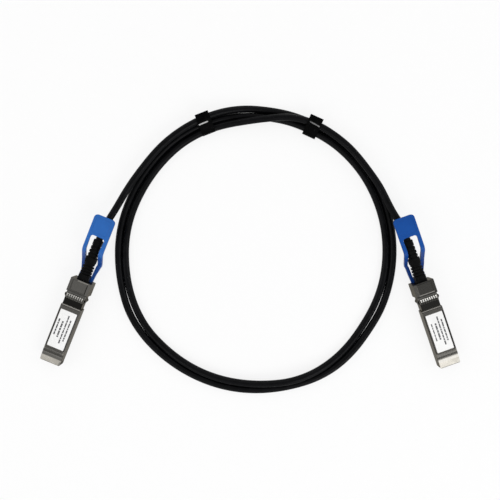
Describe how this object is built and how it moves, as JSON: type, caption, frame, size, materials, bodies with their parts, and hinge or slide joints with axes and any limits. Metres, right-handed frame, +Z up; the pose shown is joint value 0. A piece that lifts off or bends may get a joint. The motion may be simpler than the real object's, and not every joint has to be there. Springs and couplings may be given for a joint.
{
  "type": "passive direct attach network cable",
  "caption": "Coiled black direct attach network cable with metal small-form plug modules, blue pull tabs, strain relief boots and coil ties.",
  "frame": {"origin": "on the floor, under the middle of the box round both plugs, the tabs included and the cable left out", "axes": "+X from the left plug to the right plug as the picture shows them, +Y from the plugs' noses towards the coil, +Z up out of the labels"},
  "size_m": [0.2755, 0.1896, 0.0161],
  "materials": {
    "die_cast_metal": "satin die cast, bare warm grey",
    "collar_steel": "thin stamped sheet, bright",
    "label_film": "matt white film with grey print fields",
    "card_laminate": "green solder mask",
    "contact_gold": "gold flash",
    "chip_black": "matt moulded",
    "pair_foil": "wrapped foil",
    "ferrule_metal": "satin",
    "boot_rubber": "satin moulded",
    "tab_plastic": "smooth blue moulding",
    "spring_steel": "stamped, bright",
    "screw_steel": "turned",
    "cable_jacket": "satin black extruded jacket",
    "tie_plastic": "matt black moulded"
  },
  "bodies": {
    "assembly": {"left_lower_housing": "die_cast_metal", "left_upper_cover": "die_cast_metal", "left_emi_collar": "collar_steel", "left_label": "label_film", "left_paddle_card": "card_laminate", "left_card_contacts": "contact_gold", "left_memory_chip": "chip_black", "left_twin_pairs": "pair_foil", "left_crimp_ferrule": "ferrule_metal", "left_cable_boot": "boot_rubber", "left_return_spring": "spring_steel", "left_latch_pin": "spring_steel", "left_housing_screws": "screw_steel", "right_lower_housing": "die_cast_metal", "right_upper_cover": "die_cast_metal", "right_emi_collar": "collar_steel", "right_label": "label_film", "right_paddle_card": "card_laminate", "right_card_contacts": "contact_gold", "right_memory_chip": "chip_black", "right_twin_pairs": "pair_foil", "right_crimp_ferrule": "ferrule_metal", "right_cable_boot": "boot_rubber", "right_return_spring": "spring_steel", "right_latch_pin": "spring_steel", "right_housing_screws": "screw_steel", "cable_coil": "cable_jacket", "left_cable_tail": "cable_jacket", "right_cable_tail": "cable_jacket", "left_coil_tie": "tie_plastic", "right_coil_tie": "tie_plastic"},
    "left_release": {"left_pull_tab": "tab_plastic", "left_release_slider": "spring_steel"},
    "left_latch": {"left_latch_lever": "spring_steel"},
    "right_release": {"right_pull_tab": "tab_plastic", "right_release_slider": "spring_steel"},
    "right_latch": {"right_latch_lever": "spring_steel"}
  },
  "joints": [
    {"name": "left_tab_pull", "type": "slide", "parent": "assembly", "child": "left_release", "axis": [0.3803, 0.9228, 0.062], "range_m": [0, 0.0025], "stiffness_N_per_m": 600, "deforming": ["left_return_spring"]},
    {"name": "left_latch_pivot", "type": "hinge", "parent": "assembly", "child": "left_latch", "pos_m": [-0.11676, -0.00994, 0.00324], "axis": [0.9245, -0.3811, 0], "range_deg": [0, 5.5]},
    {"name": "right_tab_pull", "type": "slide", "parent": "assembly", "child": "right_release", "axis": [-0.3332, 0.9408, 0.062], "range_m": [0, 0.0025], "stiffness_N_per_m": 600, "deforming": ["right_return_spring"]},
    {"name": "right_latch_pivot", "type": "hinge", "parent": "assembly", "child": "right_latch", "pos_m": [0.11838, -0.01112, 0.00324], "axis": [0.9426, 0.3338, 0], "range_deg": [0, 5.5]}
  ],
  "couplings": [
    {"joint": "left_latch_pivot", "follows": "left_tab_pull", "rad_per_m": 36},
    {"joint": "right_latch_pivot", "follows": "right_tab_pull", "rad_per_m": 36}
  ]
}
